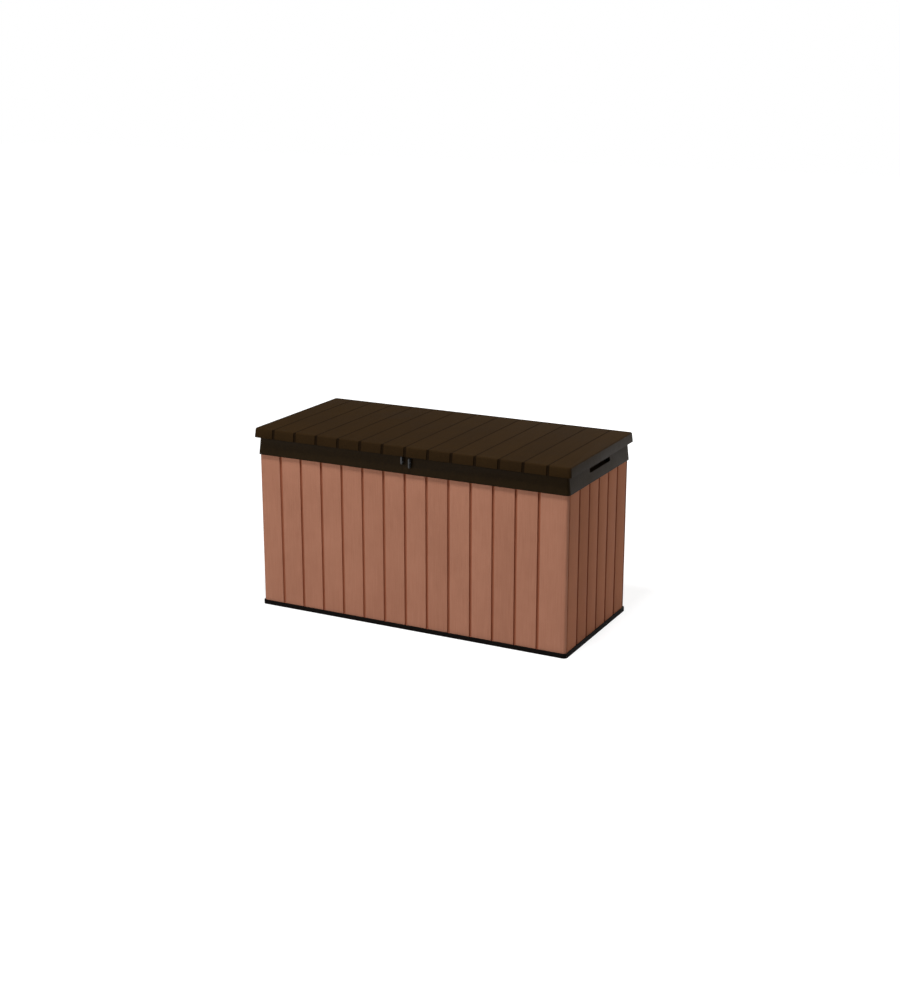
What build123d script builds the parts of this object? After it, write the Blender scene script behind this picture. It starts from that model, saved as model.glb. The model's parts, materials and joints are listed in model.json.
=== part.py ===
from build123d import *
import os
from math import acos, asin, atan, cos, degrees, radians, sin, tan

# Deck storage box: a floor panel, four planked walls that stand in its channel, four flared rails
# on top of the walls, a planked lid on three rear hinges, and two gas springs that hold the lid up.
# Frame: origin on the floor under the middle of the box, front towards -Y, +Z up, millimetres.

os.makedirs("parts", exist_ok=True)

# ---- driving sizes: the box ----
wall_length = 1232.0  # over the side walls
wall_depth = 547.0  # over the front and rear walls
wall_show = 566.0  # wall seen between the base lip and the rail
wall_thickness = 11.0
wall_skin = 2.6  # left behind the cells of the inner side
wall_corner = 9.0  # rounding of the upright corners
plank_pitch = 86.25
plank_groove = 8.5
plank_groove_depth = 5.0
front_pattern_shift = -8.5  # the boards of the long walls sit off centre
cell_rib = 12.0  # upright ribs between cells
cell_rail = 4.0  # level ribs between cells
cell_rows = 4
cell_edge = 10.0  # solid edge round the cells

# ---- driving sizes: the floor ----
lip_height = 16.0
lip_reach = 5.0
lip_rounding = 1.5
channel_floor = 6.0
foot_clearance = 0.4
deck_rise = 8.0  # deck above the lip
deck_thickness = 3.5
floor_rib = 4.0
floor_cell = 100.0

# ---- driving sizes: the rails ----
rail_show = 65.0  # rail seen under the lid's rim
rail_hidden = 13.0  # rail inside the lid
rail_reach = 5.5  # proud of the wall at its lower edge
rail_set_in = 1.6  # behind the wall's face at the lid's rim
rail_skin = 3.0
rail_leg = 2.7
ledge_thickness = 2.5
rail_lap = 18.0  # rail covers this much of the wall
leg_lap = 24.0  # inner leg starts this far above the rail's lower edge
tongue_thickness = 4.8
tongue_room = 8.0  # above the tongue
fit_gap = 0.3  # between pieces that are fitted together
mitre_gap = 0.4

# ---- driving sizes: the hand slots ----
slot_height = 16.0
slot_spring_gap = 11.65  # the finger space's end to the gas spring's lid socket
slot_rise = 44.0  # its middle above the rail's lower edge
pocket_depth = 28.0
pocket_wall = 3.0
pocket_margin = 3.0
pocket_top = 5.0  # rail's top over the finger space
pocket_sill = 1.0  # finger space goes this far below the slot
pocket_room = 1.0  # round the pocket in the wall's tongue

# ---- driving sizes: wall keys ----
key_inset = 7.5
key_thickness = 4.0
key_depth = 6.0
joint_gap = 0.2

# ---- driving sizes: the lid ----
lid_overhang_side = 14.0
lid_overhang_front = 16.5
rim_height = 35.0
rim_flare = 3.3
rim_skin = 4.5
lid_corner = 11.0
lid_edge_rounding = 5.0
lid_plank_pitch = 90.85
lid_groove = 4.0
lid_groove_depth = 3.0
lid_notch = 8.0
lid_notch_depth = 2.8
lid_skin = 6.0
seat_gap = 0.5  # closed lid to rail
bead_height = 3.5
bead_width = 4.0
liner_thickness = 2.5
liner_corner = 5.0
liner_rib = 2.5
liner_pitch = 220.0
liner_rib_clearance = 0.3
liner_rib_stop = 30.0  # ribs end this far short of the outer screws
liner_row_inset = 60.0  # outer screw rows from the lid's edge

# ---- driving sizes: screws ----
screw_radius = 2.0
screw_head_radius = 4.0
screw_head_height = 2.4
screw_head_rounding = 0.8
screw_clearance = 0.1
screw_recess = 1.2
screw_bite = 9.0
screw_tip = 0.8  # a screw ends this far short of its hole
screw_edge = 9.0  # from a small plate's edge to its screws
boss_radius = 4.5
rail_screw_pitch = 320.0
rear_screw_inset = 76.0  # from the end of the wall
side_screw_beyond = 87.0  # past the end of the hand slot

# ---- driving sizes: the hinges ----
hinge_inset = 186.0  # outer hinges from the wall's ends
hinge_width = 60.0
hinge_leaf = 2.5
leaf_corner = 4.0
knuckle_radius = 6.0
knuckle_gap = 0.4
knuckle_room = 1.0  # round the lid's knuckle in the rail leaf
lid_knuckle = 29.2
pin_radius = 3.0
pin_clearance = 0.05
pin_head = 1.5
pin_head_radius = 5.0
hinge_behind_wall = 4.7  # hinge line behind the wall's face
hinge_above_rim = 3.0  # hinge line above the rim's lower edge
rail_leaf_height = 46.0
lid_leaf_reach = 48.0
hinge_screw_pitch = 20.0
hinge_screw_rise = 14.0  # above the rail leaf's lower edge
leaf_set_in = 0.5  # lid leaf inside the knuckle's outline
hinge_notch_side = 2.0
hinge_notch_height = 6.0

# ---- driving sizes: the gas springs ----
lid_opening = 85.0  # degrees
spring_radius = 160.0  # both ball studs from the hinge line
spring_angle = 72.0  # between the studs, seen from the hinge line, lid closed
spring_drop = 12.0  # lid stud below the hinge line
spring_inset = 17.0  # spring's centre line from the side wall's inner face
ball_radius = 5.0
ball_clearance = 0.05
ball_neck = 2.5
stud_collar = 6.0
stud_shank = 3.0
socket_radius = 8.0
socket_back = 6.5
socket_front = 3.5
socket_stem = 5.5
stem_start = 6.0  # stem grows out of the socket this far from the ball's middle
socket_length = 16.0
cylinder_radius = 9.0
cylinder_wall = 1.5
cylinder_end = 3.0
cylinder_tail = 3.0  # radius of the tail in the lower socket
rod_radius = 4.0
rod_clearance = 0.3
rod_show = 6.0
rod_grip = 8.0
gland_length = 10.0
piston_length = 8.0
piston_spare = 2.0
bracket_plate = 3.0
bracket_width = 36.0
bracket_height = 52.0
bracket_screw_edge = 8.0
bracket_corner = 4.0
lid_bracket_plate = 2.5
lid_bracket_flange = 35.0
lid_bracket_length = 40.0
lid_bracket_ear = 24.0
lid_bracket_below = 10.0  # ear below its ball stud
lid_bracket_screw_step = 12.0
lid_bracket_clearance = 1.0
pad_edge = 4.0

# ---- driving sizes: the padlock lugs ----
lug_thickness = 5.0
lug_spread = 30.0  # between the two lugs' middles
lug_hole_radius = 4.0
lug_hole_rise = 43.0  # above the rail's lower edge
lug_front_margin = 2.0  # inside the lid's overhang
lug_hole_margin = 2.2  # wall in front of the hole
lug_clearance = 0.6
lid_lug_height = 30.0
rail_lug_height = 35.0
rail_lug_rise = 24.0
lug_flange = 10.0  # captive flange round the rail lug
lid_lug_flange = 34.0
lid_lug_shelf = 14.6
lid_lug_plate = 2.5
lid_lug_screw_step = 10.0
rail_lug_plate = 2.5
rail_lug_plate_room = 4.0  # plate ends this far below the lug's top
lug_corner = 3.0

# ---- levels and places that follow ----
rail_bottom = lip_height + wall_show
rim_bottom = rail_bottom + rail_show
lid_top = rim_bottom + rim_height
rail_top = rim_bottom + rail_hidden
deck_top = lip_height + deck_rise
shoulder = rail_bottom + rail_lap
leg_bottom = rail_bottom + leg_lap
tongue_top = rail_top - tongue_room
web_bottom = rail_top - rail_skin
lid_length = wall_length + 2 * lid_overhang_side
lid_depth = wall_depth + 2 * lid_overhang_front
deck_length = wall_length - 2 * (wall_thickness + foot_clearance)
deck_depth = wall_depth - 2 * (wall_thickness + foot_clearance)
rail_inner = wall_thickness + fit_gap + rail_leg  # inner side of the rail behind the wall's face
rail_slope = degrees(atan((rail_reach + rail_set_in) / rail_show))
rim_slope = degrees(atan(rim_flare / rim_height))
liner_bottom = rail_top + seat_gap + bead_height
liner_top = liner_bottom + liner_thickness
deck_under = lid_top - lid_skin
hinge_y = wall_depth / 2 + hinge_behind_wall
hinge_z = rim_bottom + hinge_above_rim
hinge_spread = wall_length / 2 - hinge_inset
hinge_places = (-hinge_spread, 0.0, hinge_spread)
bead_line = (wall_thickness + fit_gap + rail_leg + rail_set_in) / 2
slot_middle = rail_bottom + slot_rise
pocket_bottom = slot_middle - slot_height / 2 - pocket_sill
pocket_ceiling = rail_top - pocket_top


def on_hinge_circle(angle):
    """A point on the studs' circle about the hinge line, by its angle below level, as (y, z)."""
    return hinge_y - spring_radius * cos(radians(angle)), hinge_z - spring_radius * sin(radians(angle))


stud_fall = degrees(asin(spring_drop / spring_radius))  # lid stud below the level of the hinge line
lid_stud_y, lid_stud_z = on_hinge_circle(stud_fall)
wall_stud_y, wall_stud_z = on_hinge_circle(stud_fall + spring_angle)

# The finger spaces and hand slots sit midway along the side rails and end short of the lid sockets.
pocket_span = 2 * (lid_stud_y - socket_radius - slot_spring_gap - pocket_wall)
slot_length = pocket_span - 2 * pocket_margin

# Each wall has its own plane: x along the wall, y inwards from its outer face, z up.
front_side = Plane(origin=(0, -wall_depth / 2, 0), x_dir=(1, 0, 0), z_dir=(0, 0, 1))
rear_side = Plane(origin=(0, wall_depth / 2, 0), x_dir=(-1, 0, 0), z_dir=(0, 0, 1))
right_side = Plane(origin=(wall_length / 2, 0, 0), x_dir=(0, 1, 0), z_dir=(0, 0, 1))
left_side = Plane(origin=(-wall_length / 2, 0, 0), x_dir=(0, -1, 0), z_dir=(0, 0, 1))


def write(piece, name):
    piece.part.label = name
    export_step(piece.part, f"parts/{name}.step")


def outer_face(side):
    """The wall's outer face as a plane: x along the wall, y up, normal outwards."""
    return Plane(origin=side.origin, x_dir=side.x_dir, z_dir=-side.y_dir)


def site(side, along, inwards, height):
    """A screw's seat on an upright surface, its normal pointing into the box."""
    place = side.from_local_coords(Vector(along, inwards, height))
    return Plane(origin=place, x_dir=side.x_dir, z_dir=side.y_dir)


def rail_face(height):
    """How far the rail's outer face stands proud of the wall's face at a height."""
    return rail_reach - (height - rail_bottom) * tan(radians(rail_slope))


def rail_face_site(side, along, height, lift):
    """A seat on the rail's sloping outer face, lifted off it, its normal square to the face."""
    base = side.from_local_coords(Vector(along, -rail_face(height), height))
    slope = radians(rail_slope)
    normal = side.y_dir * -cos(slope) + Vector(0, 0, sin(slope))
    return Plane(origin=base + normal * lift, x_dir=side.x_dir, z_dir=normal)


def below(x, y, level):
    """A screw's seat that faces down."""
    return Plane(origin=(x, y, level), x_dir=(1, 0, 0), z_dir=(0, 0, -1))


def plank_lines(span, pitch, shift=0.0):
    count = round(span / pitch) - 1
    return [shift + (i - (count - 1) / 2) * pitch for i in range(count)]


def pan_screws(places, length):
    with BuildPart() as screws:
        with BuildSketch(*places):
            Circle(screw_head_radius)
        extrude(amount=screw_head_height)
        head_top = places[0].offset(screw_head_height).origin
        fillet(screws.faces().sort_by_distance(head_top)[0].edges(), screw_head_rounding)
        with BuildSketch(*places):
            Circle(screw_radius)
        extrude(amount=-length)
        with BuildSketch(*[place.offset(screw_head_height) for place in places]):
            Rectangle(screw_head_radius, screw_recess / 2)
            Rectangle(screw_recess / 2, screw_head_radius)
        extrude(amount=-screw_recess, mode=Mode.SUBTRACT)
    return screws


def lid_seats(places, plate):
    """Seats of the screws that come up from below into the lid, through a plate under the liner."""
    return [below(x, y, liner_bottom - plate) for x, y in places]


def lid_screws(places, plate):
    return pan_screws(lid_seats(places, plate), plate + liner_thickness + screw_bite - screw_tip)


# ---- places of the screws ----
rail_screw_height = (leg_bottom + tongue_top) / 2
rail_screw_length = rail_leg + fit_gap + tongue_thickness - screw_tip
rail_screw_count = round(wall_length / rail_screw_pitch)
front_screw_lines = [(i - (rail_screw_count - 1) / 2) * rail_screw_pitch for i in range(rail_screw_count)]
rear_screw_end = wall_length / 2 - rear_screw_inset
rear_screw_lines = (-rear_screw_end, -hinge_spread / 2, hinge_spread / 2, rear_screw_end)
side_screw_line = slot_length / 2 + side_screw_beyond
side_screw_lines = (-side_screw_line, side_screw_line)
hinge_screw_height = hinge_z - rail_leaf_height + hinge_screw_rise
hinge_screw_lines = [place + step * hinge_screw_pitch for place in hinge_places for step in (-1, 0, 1)]
rail_leaf_sites = [rail_face_site(rear_side, x, hinge_screw_height, hinge_leaf) for x in hinge_screw_lines]
rail_leaf_screw_length = hinge_leaf + rail_face(hinge_screw_height) + wall_thickness - screw_tip
liner_columns = round(lid_length / liner_pitch)
liner_row = lid_depth / 2 - liner_row_inset
liner_lines = [(i - (liner_columns - 1) / 2) * liner_pitch for i in range(liner_columns)]
liner_places = [(x, y) for x in liner_lines for y in (-liner_row, 0, liner_row)]
lid_leaf_back = hinge_y + knuckle_radius - leaf_set_in
lid_leaf_front = lid_leaf_back - lid_leaf_reach
lid_leaf_places = [(x, lid_leaf_front + screw_edge) for x in hinge_screw_lines]


def rail_sites(side, lines):
    return [site(side, along, rail_inner, rail_screw_height) for along in lines]


def screw_bores(places, depth):
    """Clearance bores for screws, to be cut out of what they pass through."""
    with BuildPart() as bores:
        with BuildSketch(*places):
            Circle(screw_radius + screw_clearance)
        extrude(amount=-depth)
    return bores.part


# ---- places of the gas springs ----
spring_x = wall_length / 2 - wall_thickness - spring_inset
spring_closed = 2 * spring_radius * sin(radians(spring_angle / 2))
spring_open = 2 * spring_radius * sin(radians((spring_angle + lid_opening) / 2))
spring_stroke = spring_open - spring_closed
cylinder_length = spring_closed - 2 * socket_length - rod_show
spring_line = Plane(
    origin=(spring_x, wall_stud_y, wall_stud_z),
    x_dir=(1, 0, 0),
    z_dir=(0, lid_stud_y - wall_stud_y, lid_stud_z - wall_stud_z),
)
lid_stud_line = Plane(origin=(spring_x, lid_stud_y, lid_stud_z), x_dir=(1, 0, 0), z_dir=-spring_line.z_dir)
gland_bottom = socket_length + cylinder_length - gland_length
piston_bottom = gland_bottom - piston_spare - spring_stroke - piston_length
wall_plate_x = wall_length / 2 - wall_thickness - bracket_plate
lid_plate_x = wall_length / 2 - rail_inner - lid_bracket_clearance - lid_bracket_plate
lid_bracket_edge = lid_plate_x + lid_bracket_plate
bracket_screw_step = bracket_height / 2 - bracket_screw_edge
lid_bracket_places = [
    (lid_bracket_edge - lid_bracket_flange + screw_edge, lid_stud_y + step)
    for step in (-lid_bracket_screw_step, lid_bracket_screw_step)
]

# ---- places of the lugs ----
lug_front = -(lid_depth / 2 - lug_front_margin)
lug_hole_y = lug_front + lug_hole_margin + lug_hole_radius
lug_hole_z = rail_bottom + lug_hole_rise
lid_lug_bottom = rim_bottom - lid_lug_height
rail_lug_bottom = rail_bottom + rail_lug_rise
rail_lug_top = rail_lug_bottom + rail_lug_height
lid_lug_back = -(wall_depth / 2 + rail_face(lid_lug_bottom) + lug_clearance)
lid_lug_inside = -(lid_depth / 2 - rim_skin - (liner_bottom - rim_bottom) * tan(radians(rim_slope)) - fit_gap)
lid_lug_screw_y = lid_lug_inside + lid_lug_shelf / 2
lid_lug_steps = (-lid_lug_screw_step, lid_lug_screw_step)
lid_lug_places = [(step - lug_spread / 2, lid_lug_screw_y) for step in lid_lug_steps]

both_lid_bracket_places = [(flip * x, y) for x, y in lid_bracket_places for flip in (1, -1)]
lid_screw_places = liner_places + lid_leaf_places + lid_lug_places + both_lid_bracket_places


# ---- floor panel ----
with BuildPart() as floor_panel:
    with BuildSketch():
        RectangleRounded(wall_length + 2 * lip_reach, wall_depth + 2 * lip_reach, wall_corner + lip_reach)
    extrude(amount=lip_height)
    fillet(floor_panel.faces().sort_by(Axis.Z)[-1].edges(), lip_rounding)
    with BuildSketch():
        Rectangle(deck_length, deck_depth)
    extrude(amount=deck_top)
    with BuildSketch(Plane.XY.offset(channel_floor)):
        foot_corner = wall_corner + foot_clearance
        RectangleRounded(wall_length + 2 * foot_clearance, wall_depth + 2 * foot_clearance, foot_corner)
        Rectangle(deck_length, deck_depth, mode=Mode.SUBTRACT)
    extrude(amount=deck_top - channel_floor, mode=Mode.SUBTRACT)
    cells_along = round(deck_length / floor_cell)
    cells_across = round(deck_depth / floor_cell)
    cell_length = (deck_length - floor_rib) / cells_along
    cell_depth = (deck_depth - floor_rib) / cells_across
    with BuildSketch():
        with GridLocations(cell_length, cell_depth, cells_along, cells_across):
            Rectangle(cell_length - floor_rib, cell_depth - floor_rib)
    extrude(amount=deck_top - deck_thickness, mode=Mode.SUBTRACT)
write(floor_panel, "floor_panel")


# ---- walls ----
def wall_cells(length, lines, end_edge):
    """Middles and widths of the cells between the upright ribs."""
    starts = [-length / 2 + end_edge] + [x + cell_rib / 2 for x in lines]
    ends = [x - cell_rib / 2 for x in lines] + [length / 2 - end_edge]
    return [((start + end) / 2, end - start) for start, end in zip(starts, ends)]


def wall_panel(side, length, shift, corner, end_edge, tongue_length):
    """A planked panel with cells inside, and a thin tongue on top that the rail goes over."""
    lines = plank_lines(length, plank_pitch, shift)
    cell_low = deck_top + cell_edge
    cell_pitch = (shoulder - cell_edge - cell_low + cell_rail) / cell_rows
    with BuildPart() as panel:
        with BuildSketch(side.offset(channel_floor)) as plan:
            with Locations((0, wall_thickness / 2)):
                Rectangle(length, wall_thickness)
            if corner:
                fillet(plan.vertices().group_by(Axis.Y)[0], corner)
        extrude(amount=shoulder - channel_floor)
        with BuildSketch(side.offset(shoulder)):
            with Locations((0, wall_thickness - tongue_thickness / 2)):
                Rectangle(tongue_length, tongue_thickness)
        extrude(amount=tongue_top - shoulder)
        with BuildSketch(side.offset(channel_floor)):
            half = plank_groove / 2
            with Locations(*[(x, 0) for x in lines]):
                Polygon((-half, 0), (half, 0), (0, plank_groove_depth), align=None)
        extrude(amount=shoulder - channel_floor, mode=Mode.SUBTRACT)
        with BuildSketch(outer_face(side).offset(-wall_thickness)):
            for middle, width in wall_cells(length, lines, end_edge):
                for row in range(cell_rows):
                    with Locations((middle, cell_low + (row + 0.5) * cell_pitch - cell_rail / 2)):
                        Rectangle(width, cell_pitch - cell_rail)
        extrude(amount=wall_thickness - wall_skin, mode=Mode.SUBTRACT)
    return panel.part


def long_wall(side, sites):
    """A front or rear wall, with a slot at each end for the side wall's key."""
    tongue_length = wall_length - 2 * (wall_thickness - tongue_thickness)
    end_edge = wall_thickness + cell_edge
    panel = wall_panel(side, wall_length, front_pattern_shift, wall_corner, end_edge, tongue_length)
    bores = screw_bores(sites, wall_thickness + rail_leg + fit_gap + hinge_leaf)
    with BuildPart() as wall:
        add(panel)
        with BuildSketch(side.offset(channel_floor)):
            slot_depth = key_depth + joint_gap
            slot_line = wall_length / 2 - key_inset
            with Locations((-slot_line, wall_thickness), (slot_line, wall_thickness)):
                Rectangle(key_thickness + 2 * joint_gap, 2 * slot_depth)
        extrude(amount=shoulder - channel_floor, mode=Mode.SUBTRACT)
        add(bores, mode=Mode.SUBTRACT)
    return wall


def end_wall(side, stud_along):
    """A side wall, with a key down each upright edge and a pad for the gas spring's bracket."""
    length = wall_depth - 2 * (wall_thickness + joint_gap)
    panel = wall_panel(side, length, 0.0, 0.0, cell_edge, length)
    rail_bores = screw_bores(rail_sites(side, side_screw_lines), rail_inner)
    bracket_bore = bracket_plate + wall_thickness - wall_skin / 2
    bracket_bores = screw_bores(bracket_sites(side, stud_along), bracket_bore)
    with BuildPart() as wall:
        add(panel)
        with BuildSketch(side.offset(channel_floor)):
            with Locations((-length / 2, key_inset), (length / 2, key_inset)):
                Rectangle(2 * key_depth, key_thickness)
        extrude(amount=shoulder - channel_floor)
        with BuildSketch(outer_face(side).offset(-wall_thickness)):
            with Locations((stud_along, wall_stud_z)):
                Rectangle(bracket_width - 2 * joint_gap, bracket_height + 2 * pad_edge)
        extrude(amount=wall_thickness - wall_skin)
        with BuildSketch(outer_face(side).offset(-wall_thickness)):
            with Locations((0, pocket_bottom - pocket_wall - pocket_room)):
                notch = pocket_span + 2 * (pocket_wall + pocket_room)
                Rectangle(notch, rail_top - pocket_bottom, align=(Align.CENTER, Align.MIN))
        extrude(amount=wall_thickness, mode=Mode.SUBTRACT)
        add(rail_bores, mode=Mode.SUBTRACT)
        add(bracket_bores, mode=Mode.SUBTRACT)
    return wall


def bracket_sites(side, stud_along):
    inner = wall_thickness + bracket_plate
    steps = (-bracket_screw_step, bracket_screw_step)
    return [site(side, stud_along, inner, wall_stud_z + step) for step in steps]


front_wall = long_wall(front_side, rail_sites(front_side, front_screw_lines))
write(front_wall, "front_wall")
rear_wall = long_wall(rear_side, rail_sites(rear_side, rear_screw_lines) + rail_leaf_sites)
write(rear_wall, "rear_wall")
right_wall = end_wall(right_side, wall_stud_y)
write(right_wall, "right_wall")
left_wall = end_wall(left_side, -wall_stud_y)
write(left_wall, "left_wall")


# ---- upper rails ----
def flared_block(reach, height):
    """Solid inside the rails' sloping faces, drawn in from the outer face by less reach."""
    with BuildPart() as block:
        with BuildSketch(Plane.XY.offset(rail_bottom)):
            RectangleRounded(wall_length + 2 * reach, wall_depth + 2 * reach, wall_corner + reach)
        extrude(amount=height, taper=rail_slope)
    return block.part


def rail_band(inner, outer):
    """Level band round the box, between two distances behind the walls' outer faces."""
    Rectangle(wall_length - 2 * outer, wall_depth - 2 * outer)
    Rectangle(wall_length - 2 * inner, wall_depth - 2 * inner, mode=Mode.SUBTRACT)


rail_outside = flared_block(rail_reach, rail_top - rail_bottom)
rail_inside = flared_block(rail_reach - rail_skin, rail_top - rail_bottom)
rail_room = flared_block(rail_reach - rail_skin, web_bottom - rail_bottom)
with BuildPart() as rail_ring:
    add(rail_outside)
    add(rail_room, mode=Mode.SUBTRACT)
    with BuildSketch(Plane.XY.offset(shoulder)):
        rail_band(wall_thickness - tongue_thickness - fit_gap, -rail_face(shoulder) + rail_skin / 2)
    extrude(amount=ledge_thickness)
    add(rail_outside, mode=Mode.INTERSECT)
    with BuildSketch(Plane.XY.offset(leg_bottom)):
        rail_band(rail_inner, wall_thickness + fit_gap)
    extrude(amount=rail_top - leg_bottom)
    with BuildSketch(Plane.XY.offset(rail_bottom)):
        Rectangle(wall_length - 2 * rail_inner, wall_depth - 2 * rail_inner)
    extrude(amount=rail_top - rail_bottom, mode=Mode.SUBTRACT)


def finger_space(side, wall, low, high, outline):
    """The space behind a hand slot, grown by a wall, kept inside an outline."""
    depth = pocket_depth - pocket_wall + wall
    with BuildPart() as space:
        with BuildSketch(side.offset(low)):
            with Locations((0, depth / 2)):
                Rectangle(pocket_span + 2 * wall, depth)
        extrude(amount=high - low)
        add(outline, mode=Mode.INTERSECT)
    return space.part


def rail(side, length, sites, cuts=(), hand_slot=False):
    """One rail of the ring, mitred at both ends, with cuts taken out of it."""
    cup = finger_space(side, pocket_wall, pocket_bottom - pocket_wall, rail_top, rail_outside)
    fingers = finger_space(side, 0, pocket_bottom, pocket_ceiling, rail_inside)
    bores = screw_bores(sites, rail_leg + fit_gap)
    with BuildPart() as piece:
        add(rail_ring.part)
        if hand_slot:
            add(cup)
            add(fingers, mode=Mode.SUBTRACT)
            with BuildSketch(outer_face(side)):
                with Locations((0, slot_middle)):
                    SlotOverall(slot_length, slot_height)
            extrude(amount=2 * rail_skin, both=True, mode=Mode.SUBTRACT)
        with BuildSketch(side.offset(rail_bottom)):
            outer = rail_reach + mitre_gap
            inner = pocket_depth + mitre_gap
            start = -length / 2 + mitre_gap / 2
            Polygon(
                (start - outer, -outer),
                (-start + outer, -outer),
                (-start - inner, inner),
                (start + inner, inner),
                align=None,
            )
        extrude(amount=rail_top - rail_bottom, mode=Mode.INTERSECT)
        for cut in (bores, *cuts):
            add(cut, mode=Mode.SUBTRACT)
    return piece


with BuildPart() as lug_slot:
    with BuildSketch(front_side.offset(rail_lug_bottom - joint_gap)):
        with Locations((lug_spread / 2, 0)):
            Rectangle(lug_thickness + 2 * joint_gap, 2 * (wall_thickness - tongue_thickness))
    extrude(amount=rail_lug_height + 2 * joint_gap)
leaf_bores = screw_bores(rail_leaf_sites, hinge_leaf + 2 * rail_skin)
front_rail = rail(front_side, wall_length, rail_sites(front_side, front_screw_lines), cuts=[lug_slot.part])
write(front_rail, "front_rail")
rear_rail = rail(rear_side, wall_length, rail_sites(rear_side, rear_screw_lines), cuts=[leaf_bores])
write(rear_rail, "rear_rail")
right_rail = rail(right_side, wall_depth, rail_sites(right_side, side_screw_lines), hand_slot=True)
write(right_rail, "right_rail")
left_rail = rail(left_side, wall_depth, rail_sites(left_side, side_screw_lines), hand_slot=True)
write(left_rail, "left_rail")


# ---- lid cover ----
def rim_inset(height):
    """How far the rim's outer face has drawn in at a height."""
    return (height - rim_bottom) * tan(radians(rim_slope))


with BuildPart() as rim_notches:
    with BuildSketch(Plane.XY.offset(rim_bottom)):
        with Locations(*[(x, 0) for x in plank_lines(lid_length, lid_plank_pitch)]):
            Rectangle(lid_notch, lid_depth)
    extrude(amount=rim_height)
    with BuildSketch(Plane.XY.offset(rim_bottom)):
        Rectangle(lid_length, lid_depth - 2 * lid_notch_depth)
    extrude(amount=rim_height, taper=rim_slope, mode=Mode.SUBTRACT)

with BuildPart() as lid_cover:
    with BuildSketch(Plane.XY.offset(rim_bottom)):
        RectangleRounded(lid_length, lid_depth, lid_corner)
    extrude(amount=rim_height, taper=rim_slope)
    fillet(lid_cover.faces().sort_by(Axis.Z)[-1].edges(), lid_edge_rounding)
    with BuildSketch(Plane.XY.offset(rim_bottom)):
        RectangleRounded(lid_length - 2 * rim_skin, lid_depth - 2 * rim_skin, lid_corner - rim_skin)
    extrude(amount=rim_height - lid_skin, taper=rim_slope, mode=Mode.SUBTRACT)
    with BuildSketch(Plane.XY.offset(lid_top)):
        with Locations(*[(x, 0) for x in plank_lines(lid_length, lid_plank_pitch)]):
            Rectangle(lid_groove, lid_depth)
    extrude(amount=-lid_groove_depth, mode=Mode.SUBTRACT)
    add(rim_notches.part, mode=Mode.SUBTRACT)
    with BuildSketch(Plane.XY.offset(rim_bottom)):
        with Locations(*[(x, lid_depth / 2 - rim_skin) for x in hinge_places]):
            Rectangle(hinge_width + 2 * hinge_notch_side, 4 * rim_skin)
    extrude(amount=hinge_notch_height, mode=Mode.SUBTRACT)
    with BuildSketch(Plane.XY.offset(liner_top)):
        with Locations(*lid_screw_places):
            Circle(boss_radius)
    extrude(amount=deck_under - liner_top)
    with BuildSketch(Plane.XY.offset(liner_top)):
        with Locations(*lid_screw_places):
            Circle(screw_radius + screw_clearance)
    extrude(amount=screw_bite, mode=Mode.SUBTRACT)
write(lid_cover, "lid_cover")


# ---- lid liner ----
liner_inset = rim_skin + rim_inset(liner_top) + fit_gap
with BuildPart() as lid_liner:
    with BuildSketch(Plane.XY.offset(liner_bottom)):
        RectangleRounded(lid_length - 2 * liner_inset, lid_depth - 2 * liner_inset, liner_corner)
    extrude(amount=liner_thickness)
    with BuildSketch(Plane.XY.offset(liner_top)):
        for i in range(liner_columns - 1):
            with Locations((liner_lines[i] + liner_pitch / 2, 0)):
                Rectangle(liner_rib, 2 * (liner_row - liner_rib_stop))
        with Locations((0, -liner_row / 2), (0, liner_row / 2)):
            Rectangle(2 * liner_lines[-1] - boss_radius, liner_rib)
    extrude(amount=deck_under - liner_top - liner_rib_clearance)
    with BuildSketch(Plane.XY.offset(liner_bottom)):
        rail_band(bead_line + bead_width / 2, bead_line - bead_width / 2)
        with Locations(*[(x, wall_depth / 2 - bead_line) for x in hinge_places]):
            Rectangle(hinge_width + 2 * hinge_notch_side, 2 * bead_width, mode=Mode.SUBTRACT)
    extrude(amount=-bead_height)
    with BuildSketch(Plane.XY.offset(liner_bottom)):
        with Locations(*lid_screw_places):
            Circle(screw_radius + screw_clearance)
    extrude(amount=liner_thickness, mode=Mode.SUBTRACT)
write(lid_liner, "lid_liner")
write(lid_screws(liner_places, 0.0), "liner_screws")


# ---- hinges ----
def across(x):
    """An upright plane square to the hinge line."""
    return Plane.YZ.offset(x)


def rail_hinge(place):
    """Leaf on the rear rail's sloping face, with two outer knuckles."""
    middle = hinge_z - rail_leaf_height / 2
    seats = [seat for seat in rail_leaf_sites if abs(seat.origin.X - place) < hinge_width / 2]
    bores = screw_bores(seats, 2 * hinge_leaf)
    with BuildPart() as hinge:
        with BuildSketch(rail_face_site(rear_side, -place, middle, 0)) as leaf:
            Rectangle(hinge_width, rail_leaf_height / cos(radians(rail_slope)))
            fillet(leaf.vertices().group_by(Axis.Y)[0], leaf_corner)
        extrude(amount=hinge_leaf)
        with BuildSketch(across(place)):
            with Locations((hinge_y, hinge_z)):
                Circle(knuckle_radius)
        extrude(amount=hinge_width / 2, both=True)
        with BuildSketch(across(place)):
            with Locations((hinge_y, hinge_z)):
                Rectangle(2 * (knuckle_radius + knuckle_room), 2 * (knuckle_radius + knuckle_room))
        extrude(amount=lid_knuckle / 2 + knuckle_gap, both=True, mode=Mode.SUBTRACT)
        with BuildSketch(across(place)):
            with Locations((hinge_y, hinge_z)):
                Circle(pin_radius + pin_clearance)
        extrude(amount=hinge_width, both=True, mode=Mode.SUBTRACT)
        add(bores, mode=Mode.SUBTRACT)
    return hinge


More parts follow.
